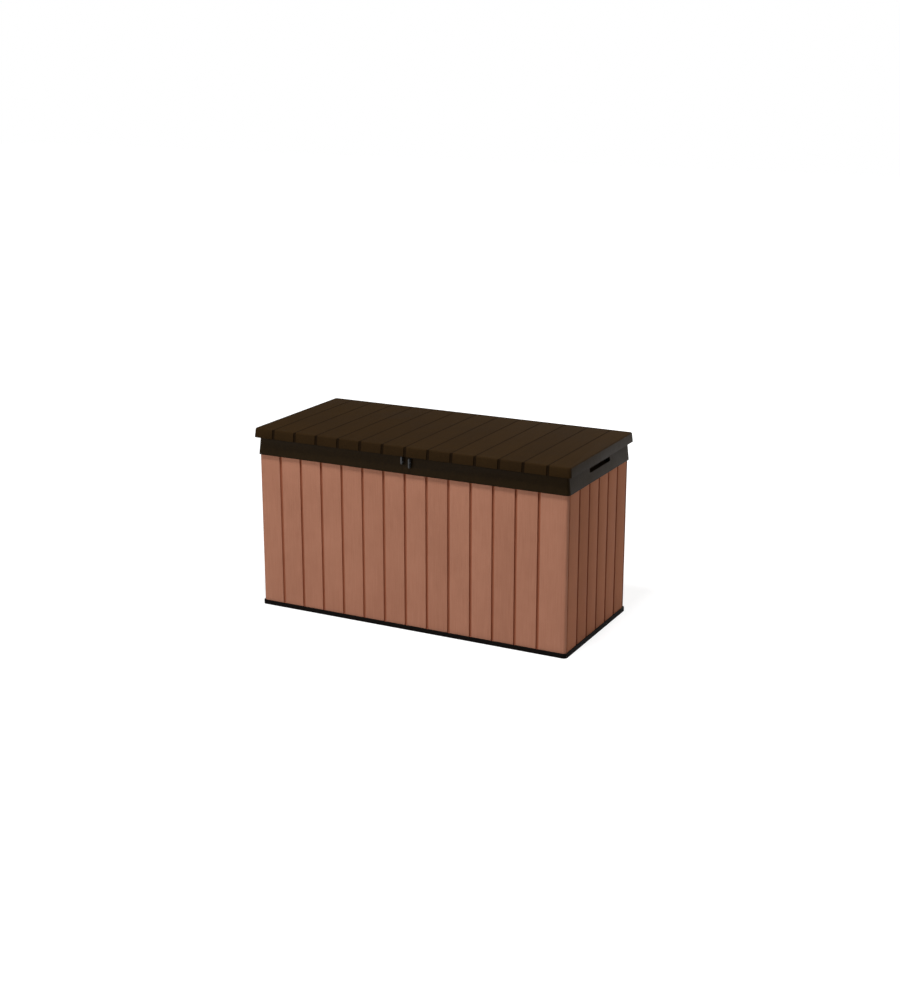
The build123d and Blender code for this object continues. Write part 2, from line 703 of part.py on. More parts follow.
def lid_hinge(place):
    """Leaf under the lid's liner, turned down at the back into the middle knuckle."""
    seats = lid_seats([(x, y) for x, y in lid_leaf_places if abs(x - place) < hinge_width / 2], hinge_leaf)
    bores = screw_bores(seats, hinge_leaf)
    with BuildPart() as hinge:
        with BuildSketch(Plane.XY.offset(liner_bottom)) as leaf:
            with Locations((place, lid_leaf_back)):
                Rectangle(hinge_width, lid_leaf_reach, align=(Align.CENTER, Align.MAX))
            fillet(leaf.vertices().group_by(Axis.Y)[0], leaf_corner)
        extrude(amount=-hinge_leaf)
        with BuildSketch(across(place)):
            with Locations((hinge_y, hinge_z)):
                Circle(knuckle_radius)
            with Locations((lid_leaf_back, hinge_z)):
                Rectangle(hinge_leaf, liner_bottom - hinge_z, align=(Align.MAX, Align.MIN))
        extrude(amount=lid_knuckle / 2, both=True)
        with BuildSketch(across(place)):
            with Locations((hinge_y, hinge_z)):
                Circle(pin_radius + pin_clearance)
        extrude(amount=hinge_width, both=True, mode=Mode.SUBTRACT)
        add(bores, mode=Mode.SUBTRACT)
    return hinge


def hinge_pin(place):
    with BuildPart() as pin:
        with BuildSketch(across(place - hinge_width / 2 - pin_head)):
            with Locations((hinge_y, hinge_z)):
                Circle(pin_head_radius)
        extrude(amount=pin_head)
        fillet(pin.faces().sort_by(Axis.X)[0].edges(), pin_head / 2)
        with BuildSketch(across(place - hinge_width / 2)):
            with Locations((hinge_y, hinge_z)):
                Circle(pin_radius)
        extrude(amount=hinge_width + pin_head)
        chamfer(pin.faces().sort_by(Axis.X)[-1].edges(), pin_head / 2)
    return pin


for spot, place in zip(("left", "middle", "right"), hinge_places):
    write(rail_hinge(place), f"rail_hinge_{spot}")
    write(lid_hinge(place), f"lid_hinge_{spot}")
    write(hinge_pin(place), f"hinge_pin_{spot}")
write(pan_screws(rail_leaf_sites, rail_leaf_screw_length), "rail_hinge_screws")
write(lid_screws(lid_leaf_places, hinge_leaf), "lid_hinge_screws")


# ---- gas springs ----
def cross_plane(y, z, x):
    """An upright plane square to X, at a point."""
    return Plane(origin=(x, y, z), x_dir=(0, 1, 0), z_dir=(1, 0, 0))


def through_ball(y, z):
    """The upright plane along X through a ball's middle."""
    return Plane(origin=(spring_x, y, z), x_dir=(1, 0, 0), z_dir=(0, -1, 0))


def ball_socket(line, pin_bore, bore_depth):
    """Socket round a ball at the line's origin, open towards the wall, its stem along the line."""
    y, z = line.origin.Y, line.origin.Z
    hollow = ball_radius + ball_clearance
    mouth_angle = degrees(acos(socket_front / hollow))
    with BuildPart() as socket:
        with BuildSketch(through_ball(y, z)):
            with BuildLine():
                CenterArc((0, 0), hollow, 180, mouth_angle - 180)
                Polyline(
                    (socket_front, hollow * sin(radians(mouth_angle))),
                    (socket_front, socket_radius),
                    (-socket_back, socket_radius),
                    (-socket_back, 0),
                    (-hollow, 0),
                )
            make_face()
        revolve(axis=Axis((spring_x, y, z), (1, 0, 0)))
        with BuildSketch(line.offset(stem_start)):
            Circle(socket_stem)
        extrude(amount=socket_length - stem_start)
        with BuildSketch(line.offset(socket_length)):
            Circle(pin_bore + screw_clearance)
        extrude(amount=-bore_depth, mode=Mode.SUBTRACT)
    return socket


def ball_stud(y, z, seat_x, plate):
    """Ball at the spring's centre line, a six-sided collar on the plate and a shank through it."""
    neck_angle = degrees(asin(ball_neck / ball_radius))
    with BuildPart() as stud:
        with BuildSketch(through_ball(y, z)):
            with BuildLine():
                CenterArc((0, 0), ball_radius, 180, neck_angle - 180)
                Polyline(
                    (ball_radius * cos(radians(neck_angle)), ball_neck),
                    (seat_x - spring_x, ball_neck),
                    (seat_x - spring_x, 0),
                    (-ball_radius, 0),
                )
            make_face()
        revolve(axis=Axis((spring_x, y, z), (1, 0, 0)))
        with BuildSketch(cross_plane(y, z, seat_x - stud_collar / 2)):
            RegularPolygon(stud_collar, 6)
        extrude(amount=stud_collar / 2)
        with BuildSketch(cross_plane(y, z, seat_x)):
            Circle(stud_shank)
        extrude(amount=plate)
    return stud


def gas_cylinder():
    with BuildPart() as cylinder:
        with BuildSketch(spring_line.offset(socket_length)):
            Circle(cylinder_radius)
        extrude(amount=cylinder_length)
        bottom = spring_line.offset(socket_length).origin
        fillet(cylinder.faces().sort_by_distance(bottom)[0].edges(), cylinder_wall)
        with BuildSketch(spring_line.offset(socket_length + cylinder_end)):
            Circle(cylinder_radius - cylinder_wall)
        extrude(amount=cylinder_length, mode=Mode.SUBTRACT)
        with BuildSketch(spring_line.offset(socket_length)):
            Circle(cylinder_tail)
        extrude(amount=-rod_grip)
    return cylinder


def gland():
    """The rod's guide in the cylinder's mouth."""
    with BuildPart() as guide:
        with BuildSketch(spring_line.offset(gland_bottom)):
            Circle(cylinder_radius - cylinder_wall)
            Circle(rod_radius + rod_clearance, mode=Mode.SUBTRACT)
        extrude(amount=gland_length)
    return guide


def gas_rod():
    with BuildPart() as rod:
        with BuildSketch(spring_line.offset(piston_bottom)):
            Circle(rod_radius)
        extrude(amount=spring_closed - socket_length + rod_grip - piston_bottom)
    return rod


def piston():
    with BuildPart() as disc:
        with BuildSketch(spring_line.offset(piston_bottom)):
            Circle(cylinder_radius - cylinder_wall - rod_clearance)
            Circle(rod_radius, mode=Mode.SUBTRACT)
        extrude(amount=piston_length)
    return disc


def wall_bracket():
    """Plate on the side wall's pad, with the lower ball stud's hole."""
    bores = screw_bores(bracket_sites(right_side, wall_stud_y), bracket_plate)
    with BuildPart() as bracket:
        with BuildSketch(cross_plane(wall_stud_y, wall_stud_z, wall_plate_x)):
            RectangleRounded(bracket_width, bracket_height, bracket_corner)
            Circle(stud_shank + screw_clearance, mode=Mode.SUBTRACT)
        extrude(amount=bracket_plate)
        add(bores, mode=Mode.SUBTRACT)
    return bracket


def lid_bracket():
    """Flange under the lid's liner and an ear that carries the upper ball stud."""
    bores = screw_bores(lid_seats(lid_bracket_places, lid_bracket_plate), lid_bracket_plate)
    with BuildPart() as bracket:
        with BuildSketch(Plane.XY.offset(liner_bottom)):
            with Locations((lid_bracket_edge, lid_stud_y)):
                Rectangle(lid_bracket_flange, lid_bracket_length, align=(Align.MAX, Align.CENTER))
        extrude(amount=-lid_bracket_plate)
        with BuildSketch(cross_plane(lid_stud_y, lid_stud_z, lid_plate_x)):
            with Locations((0, -lid_bracket_below)):
                ear_height = liner_bottom - lid_stud_z + lid_bracket_below
                Rectangle(lid_bracket_ear, ear_height, align=(Align.CENTER, Align.MIN))
            Circle(stud_shank + screw_clearance, mode=Mode.SUBTRACT)
        extrude(amount=lid_bracket_plate)
        low = bracket.faces().sort_by(Axis.Z)[0]
        fillet(low.edges().filter_by(Axis.X), bracket_corner)
        add(bores, mode=Mode.SUBTRACT)
    return bracket


spring_pieces = {
    "gas_cylinder": gas_cylinder(),
    "cylinder_gland": gland(),
    "gas_rod": gas_rod(),
    "gas_piston": piston(),
    "lower_socket": ball_socket(spring_line, cylinder_tail, rod_grip),
    "upper_socket": ball_socket(lid_stud_line, rod_radius, rod_grip),
    "lower_ball_stud": ball_stud(wall_stud_y, wall_stud_z, wall_plate_x, bracket_plate),
    "upper_ball_stud": ball_stud(lid_stud_y, lid_stud_z, lid_plate_x, lid_bracket_plate),
    "wall_bracket": wall_bracket(),
    "lid_bracket": lid_bracket(),
}
for name, right_piece in spring_pieces.items():
    write(right_piece, f"{name}_right")
    with BuildPart() as left_piece:
        mirror(right_piece.part, about=Plane.YZ)
    write(left_piece, f"{name}_left")

bracket_screw_length = bracket_plate + wall_thickness - wall_skin - screw_tip
wall_bracket_sites = bracket_sites(right_side, wall_stud_y) + bracket_sites(left_side, -wall_stud_y)
write(pan_screws(wall_bracket_sites, bracket_screw_length), "wall_bracket_screws")
write(lid_screws(both_lid_bracket_places, lid_bracket_plate), "lid_bracket_screws")


# ---- padlock lugs ----
lid_lug_bores = screw_bores(lid_seats(lid_lug_places, lid_lug_plate), lid_lug_plate)
with BuildPart() as lid_lock_lug:
    with BuildSketch(across(-lug_spread / 2)):
        knee = rim_bottom - joint_gap
        Polygon(
            (lug_front + lug_corner, lid_lug_bottom),
            (lug_front, lid_lug_bottom + lug_corner),
            (lug_front, knee - lug_corner),
            (lid_lug_inside, knee),
            (lid_lug_inside, liner_bottom),
            (lid_lug_back, liner_bottom),
            (lid_lug_back, lid_lug_bottom),
            align=None,
        )
        with Locations((lug_hole_y, lug_hole_z)):
            Circle(lug_hole_radius, mode=Mode.SUBTRACT)
    extrude(amount=lug_thickness / 2, both=True)
    with BuildSketch(Plane.XY.offset(liner_bottom)):
        with Locations((-lug_spread / 2, lid_lug_inside)):
            Rectangle(lid_lug_flange, lid_lug_shelf, align=(Align.CENTER, Align.MIN))
    extrude(amount=-lid_lug_plate)
    add(lid_lug_bores, mode=Mode.SUBTRACT)
write(lid_lock_lug, "lid_lock_lug")

with BuildPart() as rail_lock_lug:
    with BuildSketch(across(lug_spread / 2)):
        low_back = -wall_depth / 2 - rail_face(rail_lug_bottom) + rail_skin + rail_lug_plate / 2
        high_back = -wall_depth / 2 - rail_face(rail_lug_top) + rail_skin + rail_lug_plate / 2
        Polygon(
            (lug_front + lug_corner, rail_lug_bottom),
            (lug_front, rail_lug_bottom + lug_corner),
            (lug_front, rail_lug_top - lug_corner),
            (lug_front + lug_corner, rail_lug_top),
            (high_back, rail_lug_top),
            (low_back, rail_lug_bottom),
            align=None,
        )
        with Locations((lug_hole_y, lug_hole_z)):
            Circle(lug_hole_radius, mode=Mode.SUBTRACT)
    extrude(amount=lug_thickness / 2, both=True)
    plate_height = rail_lug_height - rail_lug_plate_room
    plate_middle = rail_lug_bottom + plate_height / 2
    with BuildSketch(rail_face_site(front_side, lug_spread / 2, plate_middle, -rail_skin)):
        Rectangle(lug_thickness + 2 * lug_flange, plate_height)
    extrude(amount=-rail_lug_plate)
write(rail_lock_lug, "rail_lock_lug")
write(lid_screws(lid_lug_places, lid_lug_plate), "lid_lug_screws")


# ---- screws of the rails ----
every_rail_site = rail_sites(front_side, front_screw_lines) + rail_sites(rear_side, rear_screw_lines)
every_rail_site += rail_sites(right_side, side_screw_lines) + rail_sites(left_side, side_screw_lines)
write(pan_screws(every_rail_site, rail_screw_length), "rail_screws")
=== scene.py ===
import json
from math import cos, pi, radians, sin

import bmesh
import bpy
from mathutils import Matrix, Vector


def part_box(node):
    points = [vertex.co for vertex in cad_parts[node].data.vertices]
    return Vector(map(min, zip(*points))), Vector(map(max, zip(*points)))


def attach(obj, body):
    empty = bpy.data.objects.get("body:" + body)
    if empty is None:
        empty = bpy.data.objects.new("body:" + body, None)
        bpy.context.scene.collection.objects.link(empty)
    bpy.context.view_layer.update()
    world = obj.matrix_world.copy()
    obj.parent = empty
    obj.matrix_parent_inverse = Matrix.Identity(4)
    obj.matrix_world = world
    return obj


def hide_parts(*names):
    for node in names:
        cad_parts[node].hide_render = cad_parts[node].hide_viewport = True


# Looks of the deck storage box: planked clay-coloured walls, dark rails and lid, and the works inside.
# Metres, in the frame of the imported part: front towards -Y, +Z up, origin on the floor under the middle.

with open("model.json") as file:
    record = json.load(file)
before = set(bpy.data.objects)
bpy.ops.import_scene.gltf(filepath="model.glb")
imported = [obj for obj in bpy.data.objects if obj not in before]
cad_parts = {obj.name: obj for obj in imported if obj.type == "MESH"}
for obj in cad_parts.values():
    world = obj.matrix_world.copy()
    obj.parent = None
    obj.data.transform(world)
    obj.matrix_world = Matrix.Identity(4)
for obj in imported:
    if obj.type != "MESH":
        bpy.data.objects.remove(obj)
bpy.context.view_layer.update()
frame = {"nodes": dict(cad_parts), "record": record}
slot_of = {entry["node"]: entry["material_slot"] for entry in frame["record"]["subparts"]}
body_of = {name: body for body, names in frame["record"]["behaviour"]["bodies"].items() for name in names}

# ---- sizes: the walls ----
plank_pitch = 0.08625
plank_half_groove = 0.0055  # half of a groove's mouth
plank_half_bed = 0.0041  # half of its flat bottom
plank_groove_depth = 0.005
plank_mouth_rounding = 0.0016
plank_bed_rounding = 0.0007
front_pattern_shift = -0.0085  # the boards of the long walls sit off centre
wall_corner = 0.009
wall_thickness = 0.011
wall_skin = 0.0026  # left behind the cells of the inner side
wall_joint = 0.0002  # from the end of a side wall to the long wall
shoulder = 0.600  # the wall's outer face ends here, under the rail
tongue_thickness = 0.0048
cell_rib = 0.012  # upright ribs between cells
cell_rail = 0.004  # level ribs between cells
cell_rows = 4
cell_edge = 0.010  # solid edge between the cells and either end of a wall
cell_low = 0.034
cell_high = 0.590
cell_rounding = 0.0007
bracket_pad_set_in = 0.0002  # the pad under a gas spring's bracket is narrower than the bracket
bracket_pad_margin = 0.004  # and goes on above and below it
pocket_half = 0.100  # the side walls' tongue is low here, behind the hand slot
pocket_floor = 0.613

# ---- sizes: the lid ----
lid_pitch = 0.09085
lid_half_groove = 0.0026  # half of a line between two boards of the top
lid_groove_depth = 0.0022  # where the top rounds over to the front and back
lid_half_notch = 0.0056  # the lines widen to notches down the front and back
lid_notch_depth = 0.0028
lid_notch_wall = 0.0008
lid_line_rounding = 0.0005
lid_corner = 0.011
lid_end_reach = 0.0121  # the lid's end faces and their corners lie within this
lid_rounding = 0.005
lid_rounding_segments = 4
lid_draw_in = 0.0033  # the sides lean in by this much towards the top
lid_skin = 0.0045
lid_deck = 0.006
rim_rounding = 0.0008
rim_edge = 0.0018  # the rim's rounded lower edge ends below this height
hinge_notch_width = 0.064
hinge_notch_height = 0.006
hinge_notch_slope = 0.0002
hinge_places = (-0.430, 0.0, 0.430)

# ---- sizes: the liner ----
liner_hidden = 0.0117  # from the liner's underside to its highest rib
liner_pitch = 0.220
liner_columns = (-0.440, -0.220, 0.0, 0.220, 0.440)
panel_edge = 0.022  # from the ribs over the liner to a sunk panel
panel_gap = 0.022  # from the middle to either row of panels
panel_reach = 0.205
panel_depth = 0.0014
panel_line = 0.008
panel_corner_radius = 0.018

# ---- sizes: floor, gas springs and eased edges ----
drain_lines = [(i - 4) * 0.055 for i in range(9)]
drain_half = 0.003
drain_depth = 0.0014
deck_rounding = 0.0012
tube_radius = 0.009
ring_places = (0.0135, 0.0200)  # from the tube's upper end
ring_half = 0.0012
ring_depth = 0.0007
rail_rounding = 0.0009
lug_rounding = 0.0006
plate_rounding = 0.0004
lug_small_edge = 0.001  # edges of a lug up to this length aren't rounded
plate_small_edge = 0.003  # and those of a hinge leaf or bracket

# ---- what counts as touching, facing and sharp ----
tiny = 1e-5
close = 0.0002
facing = 0.9  # a face looks along an axis if that much of its normal does
end_facing = 0.8  # and the lid's rounded ends already from here on
sharp = 1.0  # radians between the two faces of an edge
stands_out = radians(50)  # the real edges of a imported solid, and not the joints of its curved faces
soft_bend = radians(20)  # the edges along the lid's grooves
smooth_below = radians(30)
flat_below = radians(0.5)
node_doubles = 0.000002


# ---- working in edit mode ----
def clear_selection():
    if bpy.context.object and bpy.context.object.mode != "OBJECT":
        bpy.ops.object.mode_set(mode="OBJECT")
    bpy.ops.object.select_all(action="DESELECT")


def take(piece):
    """Makes a piece the only one selected."""
    clear_selection()
    piece.select_set(True)
    bpy.context.view_layer.objects.active = piece


def start_block(name, low, high):
    """A block between two corners, in edit mode."""
    clear_selection()
    middle = [(a + b) / 2 for a, b in zip(low, high)]
    bpy.ops.mesh.primitive_cube_add(size=1, location=middle)
    piece = bpy.context.object
    piece.name = name
    piece.data.name = name
    piece.scale = [b - a for a, b in zip(low, high)]
    bpy.ops.object.transform_apply(location=True, rotation=True, scale=True)
    bpy.ops.object.mode_set(mode="EDIT")
    return piece


def pick(kind, test):
    """Selects the points, edges or faces that pass a test, in the piece that is in edit mode."""
    bpy.ops.mesh.select_mode(type=kind)
    bpy.ops.mesh.select_all(action="DESELECT")
    data = bpy.context.edit_object.data
    shape = bmesh.from_edit_mesh(data)
    for item in {"VERT": shape.verts, "EDGE": shape.edges, "FACE": shape.faces}[kind]:
        if test(item):
            item.select_set(True)
    shape.select_flush_mode()
    bmesh.update_edit_mesh(data)


def cut(axis, places):
    """Cuts all faces along planes square to an axis."""
    for place in places:
        point = [0.0, 0.0, 0.0]
        normal = [0.0, 0.0, 0.0]
        point[axis] = place
        normal[axis] = 1.0
        bpy.ops.mesh.select_all(action="SELECT")
        bpy.ops.mesh.bisect(plane_co=point, plane_no=normal)


def slide(x=0.0, y=0.0, z=0.0):
    bpy.ops.transform.translate(value=(x, y, z))


def pull(x=0.0, y=0.0, z=0.0):
    """Extrudes the selected faces."""
    bpy.ops.mesh.extrude_region_move(TRANSFORM_OT_translate={"value": (x, y, z)})


def round_edges(width, segments=2):
    bpy.ops.mesh.bevel(
        offset=width, offset_type="OFFSET", segments=segments, affect="EDGES", clamp_overlap=True
    )


def near(value, places, room=tiny):
    return any(abs(value - place) < room for place in places)


def within(value, spans):
    return any(low < value < high for low, high in spans)


def beside(lines, step):
    """The places a step to either side of each line."""
    return [x + way * step for x in lines for way in (-1, 1)]


def bend(edge):
    """The angle between an edge's two faces, positive where it stands out; 0 on an open edge."""
    return edge.calc_face_angle_signed(0.0) if len(edge.link_faces) == 2 else 0.0


def complete(piece, cad_node, finishes):
    """Joins a piece's all but touching points, shades and paints it, and lets it stand for a CAD node."""
    take(piece)
    bpy.ops.object.mode_set(mode="EDIT")
    bpy.ops.mesh.select_all(action="SELECT")
    bpy.ops.mesh.remove_doubles(threshold=tiny)
    bpy.ops.object.mode_set(mode="OBJECT")
    bpy.ops.object.shade_smooth_by_angle(angle=smooth_below)
    painted = [face.material_index for face in piece.data.polygons]
    piece.data.materials.clear()
    for finish in finishes:
        piece.data.materials.append(finish)
    for face, index in zip(piece.data.polygons, painted):
        face.material_index = index
    clear_selection()
    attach(piece, body_of[cad_node])
    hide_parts(cad_node)


def copy_node(cad_node, name):
    """A copy of a CAD node with its doubles merged and its flat faces joined, in edit mode."""
    clear_selection()
    source = frame["nodes"][cad_node]
    piece = source.copy()
    piece.data = source.data.copy()
    piece.parent = None
    for key in list(piece.keys()):
        del piece[key]
    piece.name = name
    piece.data.name = name
    bpy.context.scene.collection.objects.link(piece)
    take(piece)
    if piece.data.has_custom_normals:
        bpy.ops.mesh.customdata_custom_splitnormals_clear()
    bpy.ops.object.mode_set(mode="EDIT")
    bpy.ops.mesh.select_mode(type="VERT")
    bpy.ops.mesh.select_all(action="SELECT")
    bpy.ops.mesh.remove_doubles(threshold=node_doubles)
    bpy.ops.mesh.dissolve_limited(angle_limit=flat_below)
    return piece


# ---- finishes ----
def new_finish(name, roughness, specular, metallic=0.0):
    finish = bpy.data.materials.new(name)
    finish.use_nodes = True
    shader = finish.node_tree.nodes["Principled BSDF"]
    shader.inputs["Roughness"].default_value = roughness
    shader.inputs["Specular IOR Level"].default_value = specular
    shader.inputs["Metallic"].default_value = metallic
    return finish, finish.node_tree, shader


def linear(r, g, b):
    """A screen colour of 0 to 255 as scene light."""
    return [((c / 255 + 0.055) / 1.055) ** 2.4 if c > 10.3 else c / 255 / 12.92 for c in (r, g, b)]


def node(tree, kind, **values):
    made = tree.nodes.new(kind)
    for key, value in values.items():
        setattr(made, key, value)
    return made


def noise(tree, source, scale, detail, rough, stretch=(1, 1, 1)):
    """Noise read from the piece's own place, drawn out along an axis by a small stretch."""
    mapping = node(tree, "ShaderNodeMapping")
    mapping.inputs["Scale"].default_value = stretch
    tree.links.new(source, mapping.inputs["Vector"])
    texture = node(tree, "ShaderNodeTexNoise")
    texture.inputs["Scale"].default_value = scale
    texture.inputs["Detail"].default_value = detail
    texture.inputs["Roughness"].default_value = rough
    tree.links.new(mapping.outputs["Vector"], texture.inputs["Vector"])
    return texture.outputs["Fac"]


def arithmetic(tree, operation, a, b=None):
    made = node(tree, "ShaderNodeMath", operation=operation)
    for place, value in enumerate((a, b)):
        if value is None:
            continue
        if isinstance(value, (int, float)):
            made.inputs[place].default_value = value
        else:
            tree.links.new(value, made.inputs[place])
    return made.outputs[0]


def remap(tree, value, from_low, from_high, to_low, to_high):
    made = node(tree, "ShaderNodeMapRange")
    made.inputs["From Min"].default_value = from_low
    made.inputs["From Max"].default_value = from_high
    made.inputs["To Min"].default_value = to_low
    made.inputs["To Max"].default_value = to_high
    tree.links.new(value, made.inputs["Value"])
    return made.outputs["Result"]


def bump(tree, height, distance, strength, under=None):
    made = node(tree, "ShaderNodeBump")
    made.inputs["Strength"].default_value = strength
    made.inputs["Distance"].default_value = distance
    tree.links.new(height, made.inputs["Height"])
    if under is not None:
        tree.links.new(under, made.inputs["Normal"])
    return made.outputs["Normal"]


def mixed_colour(tree, factor, first, second):
    made = node(tree, "ShaderNodeMix", data_type="RGBA")
    tree.links.new(factor, made.inputs["Factor"])
    made.inputs[6].default_value = [*first, 1.0]
    made.inputs[7].default_value = [*second, 1.0]
    return made.outputs[2]


def board_tone(tree, position, axis, pitch, shift):
    """A number from 0 to 1 for each board, from its place in the row of boards."""
    split = node(tree, "ShaderNodeSeparateXYZ")
    tree.links.new(position, split.inputs["Vector"])
    place = arithmetic(tree, "SUBTRACT", split.outputs[axis], shift)
    number = arithmetic(tree, "FLOOR", arithmetic(tree, "DIVIDE", place, pitch))
    tone = node(tree, "ShaderNodeTexWhiteNoise", noise_dimensions="1D")
    tree.links.new(number, tone.inputs["W"])
    return tone.outputs["Value"]


def stained(tree, stains, dark, light):
    """A colour that runs from dark to light with the stains."""
    return mixed_colour(tree, remap(tree, stains, 0.35, 0.65, 0.0, 1.0), dark, light)


def uneven_gloss(tree, marks, least, most):
    """A roughness that runs from the least to the most with the marks."""
    return remap(tree, marks, 0.3, 0.7, least, most)


# How much of the resin's colour comes from each pattern.
streak_share = 0.42
cloud_share = 0.38
speckle_share = 0.20
board_share = 0.10


def moulded_resin(name, dark, light, roughness, specular, grain, boards=None):
    """Moulded resin with a drawn-out wood grain, a pebbled skin and a slightly uneven colour."""
    finish, tree, shader = new_finish(name, roughness, specular)
    position = node(tree, "ShaderNodeTexCoord").outputs["Object"]
    streaks = noise(tree, position, scale=1.0, detail=5.0, rough=0.62, stretch=grain)
    clouds = noise(tree, position, scale=6.0, detail=4.0, rough=0.6)
    speckle = noise(tree, position, scale=420.0, detail=2.0, rough=0.5)
    streak_tone = arithmetic(tree, "MULTIPLY", streaks, streak_share)
    tone = arithmetic(tree, "ADD", streak_tone, arithmetic(tree, "MULTIPLY", clouds, cloud_share))
    tone = arithmetic(tree, "ADD", tone, arithmetic(tree, "MULTIPLY", speckle, speckle_share))
    if boards:
        own_tone = arithmetic(tree, "MULTIPLY", board_tone(tree, position, *boards), board_share)
        tone = arithmetic(tree, "SUBTRACT", arithmetic(tree, "ADD", tone, own_tone), board_share / 2)
    factor = remap(tree, tone, 0.36, 0.64, 0.0, 1.0)
    tree.links.new(mixed_colour(tree, factor, dark, light), shader.inputs["Base Color"])
    gloss = uneven_gloss(tree, clouds, roughness - 0.05, roughness + 0.06)
    tree.links.new(gloss, shader.inputs["Roughness"])
    pebbles = bump(tree, speckle, distance=0.0003, strength=0.35)
    grained = bump(tree, streaks, distance=0.0007, strength=0.55, under=pebbles)
    tree.links.new(grained, shader.inputs["Normal"])
    return finish


def bare_metal(name, colour, roughness):
    """Plated or polished metal with faint drawing lines and stains."""
    finish, tree, shader = new_finish(name, roughness, specular=0.5, metallic=1.0)
    position = node(tree, "ShaderNodeTexCoord").outputs["Object"]
    lines = noise(tree, position, scale=1.0, detail=3.0, rough=0.5, stretch=(60, 60, 900))
    stains = noise(tree, position, scale=35.0, detail=3.0, rough=0.6)
    darker = [c * 0.82 for c in colour]
    tree.links.new(stained(tree, stains, darker, colour), shader.inputs["Base Color"])
    gloss = uneven_gloss(tree, lines, roughness - 0.06, roughness + 0.08)
    tree.links.new(gloss, shader.inputs["Roughness"])
    tree.links.new(bump(tree, lines, distance=0.0001, strength=0.3), shader.inputs["Normal"])
    return finish


def plain_coat(name, dark, light, roughness, specular):
    """Paint or polymer with a fine skin."""
    finish, tree, shader = new_finish(name, roughness, specular)
    position = node(tree, "ShaderNodeTexCoord").outputs["Object"]
    skin = noise(tree, position, scale=700.0, detail=2.0, rough=0.5)
    clouds = noise(tree, position, scale=25.0, detail=3.0, rough=0.6)
    tree.links.new(stained(tree, clouds, dark, light), shader.inputs["Base Color"])
    gloss = uneven_gloss(tree, clouds, roughness - 0.04, roughness + 0.05)
    tree.links.new(gloss, shader.inputs["Roughness"])
    tree.links.new(bump(tree, skin, distance=0.0002, strength=0.3), shader.inputs["Normal"])
    return finish


# ---- the finishes of this box ----
upright_grain = (260, 260, 9)
crosswise_grain = (230, 9, 230)
even_grain = (70, 70, 70)
coarse_grain = (60, 60, 60)

# Painted light: the long walls' clay carries a painted sheen, a grey lift in its colour, and the side walls
# take a redder, shaded copy of the same clay.
long_clay_painted_sheen = moulded_resin(
    "clay_boards_long_painted_sheen",
    linear(149, 101, 80),
    linear(163, 113, 91),
    roughness=0.7,
    specular=0.06,
    grain=upright_grain,
    boards=(0, plank_pitch, front_pattern_shift),
)
side_clay_shaded_copy = moulded_resin(
    "clay_boards_side_shaded_copy",
    linear(146, 92, 66),
    linear(160, 104, 76),
    roughness=0.7,
    specular=0.06,
    grain=upright_grain,
    boards=(1, plank_pitch, 0.0),
)
# Painted shade: a darker clay for the faces inside the wall grooves.
clay_groove_painted_shade = moulded_resin("clay_groove_painted_shade", linear(132, 76, 54), linear(146, 88, 64), 0.8, 0.03, upright_grain)
lid_brown = moulded_resin(
    "lid_boards_brown",
    linear(36, 25, 13),
    linear(44, 31, 16),
    roughness=0.80,
    specular=0.005,
    grain=crosswise_grain,
    boards=(0, lid_pitch, 0.0),
)
# Painted shade: a darker brown for the lid's lines and notches; on the flat top the lines are painted without
# depth.
lid_groove_painted_shade = moulded_resin(
    "lid_groove_painted_shade", linear(24, 16, 9), linear(29, 20, 11), roughness=0.9, specular=0.002, grain=even_grain
)
# Painted shade: the rails' brown is darker than the lid's boards, for the shade under the lid's overhang; the
# lid's end faces and the CAD nodes of dark plastic take it too.
rail_brown_painted_shade = moulded_resin("rail_brown_painted_shade", linear(29, 20, 9), linear(35, 25, 11), 0.42, 0.025, even_grain)
# Painted sheen: the lugs are of the dark plastic, painted a lighter grey for their sheen.
lug_painted_sheen_grey = moulded_resin("lug_painted_sheen_grey", linear(40, 40, 41), linear(48, 48, 49), 0.5, 0.3, even_grain)
liner_brown = moulded_resin("liner_brown", linear(60, 46, 34), linear(72, 56, 42), 0.6, 0.2, coarse_grain)
base_black = moulded_resin("base_black", linear(12, 10, 9), linear(19, 16, 14), 0.6, 0.015, coarse_grain)
hinge_steel = bare_metal("hinge_steel", (0.29, 0.29, 0.30), 0.46)
screw_zinc = bare_metal("screw_zinc", (0.36, 0.36, 0.35), 0.40)
rod_steel = bare_metal("rod_steel", (0.78, 0.78, 0.79), 0.12)
spring_paint = plain_coat("spring_paint", linear(14, 14, 15), linear(24, 24, 26), 0.38, 0.5)
socket_black = plain_coat("socket_black", linear(22, 22, 23), linear(34, 34, 35), 0.5, 0.4)

slot_finish = {
    "dark_plastic": rail_brown_painted_shade,
    "clay_plastic": side_clay_shaded_copy,
    "black_plastic": base_black,
    "liner_plastic": liner_brown,
    "hinge_steel": hinge_steel,
    "screw_zinc": screw_zinc,
    "cylinder_paint": spring_paint,
    "rod_steel": rod_steel,
    "socket_polymer": socket_black,
}

for name, piece in frame["nodes"].items():
    piece.data.materials.clear()
    piece.data.materials.append(slot_finish[slot_of[name]])


# ---- walls ----
def board_lines(span, pitch, shift=0.0):
    """Where the boards meet, along a row of them."""
    count = round(span / pitch) - 1
    return [shift + (i - (count - 1) / 2) * pitch for i in range(count)]


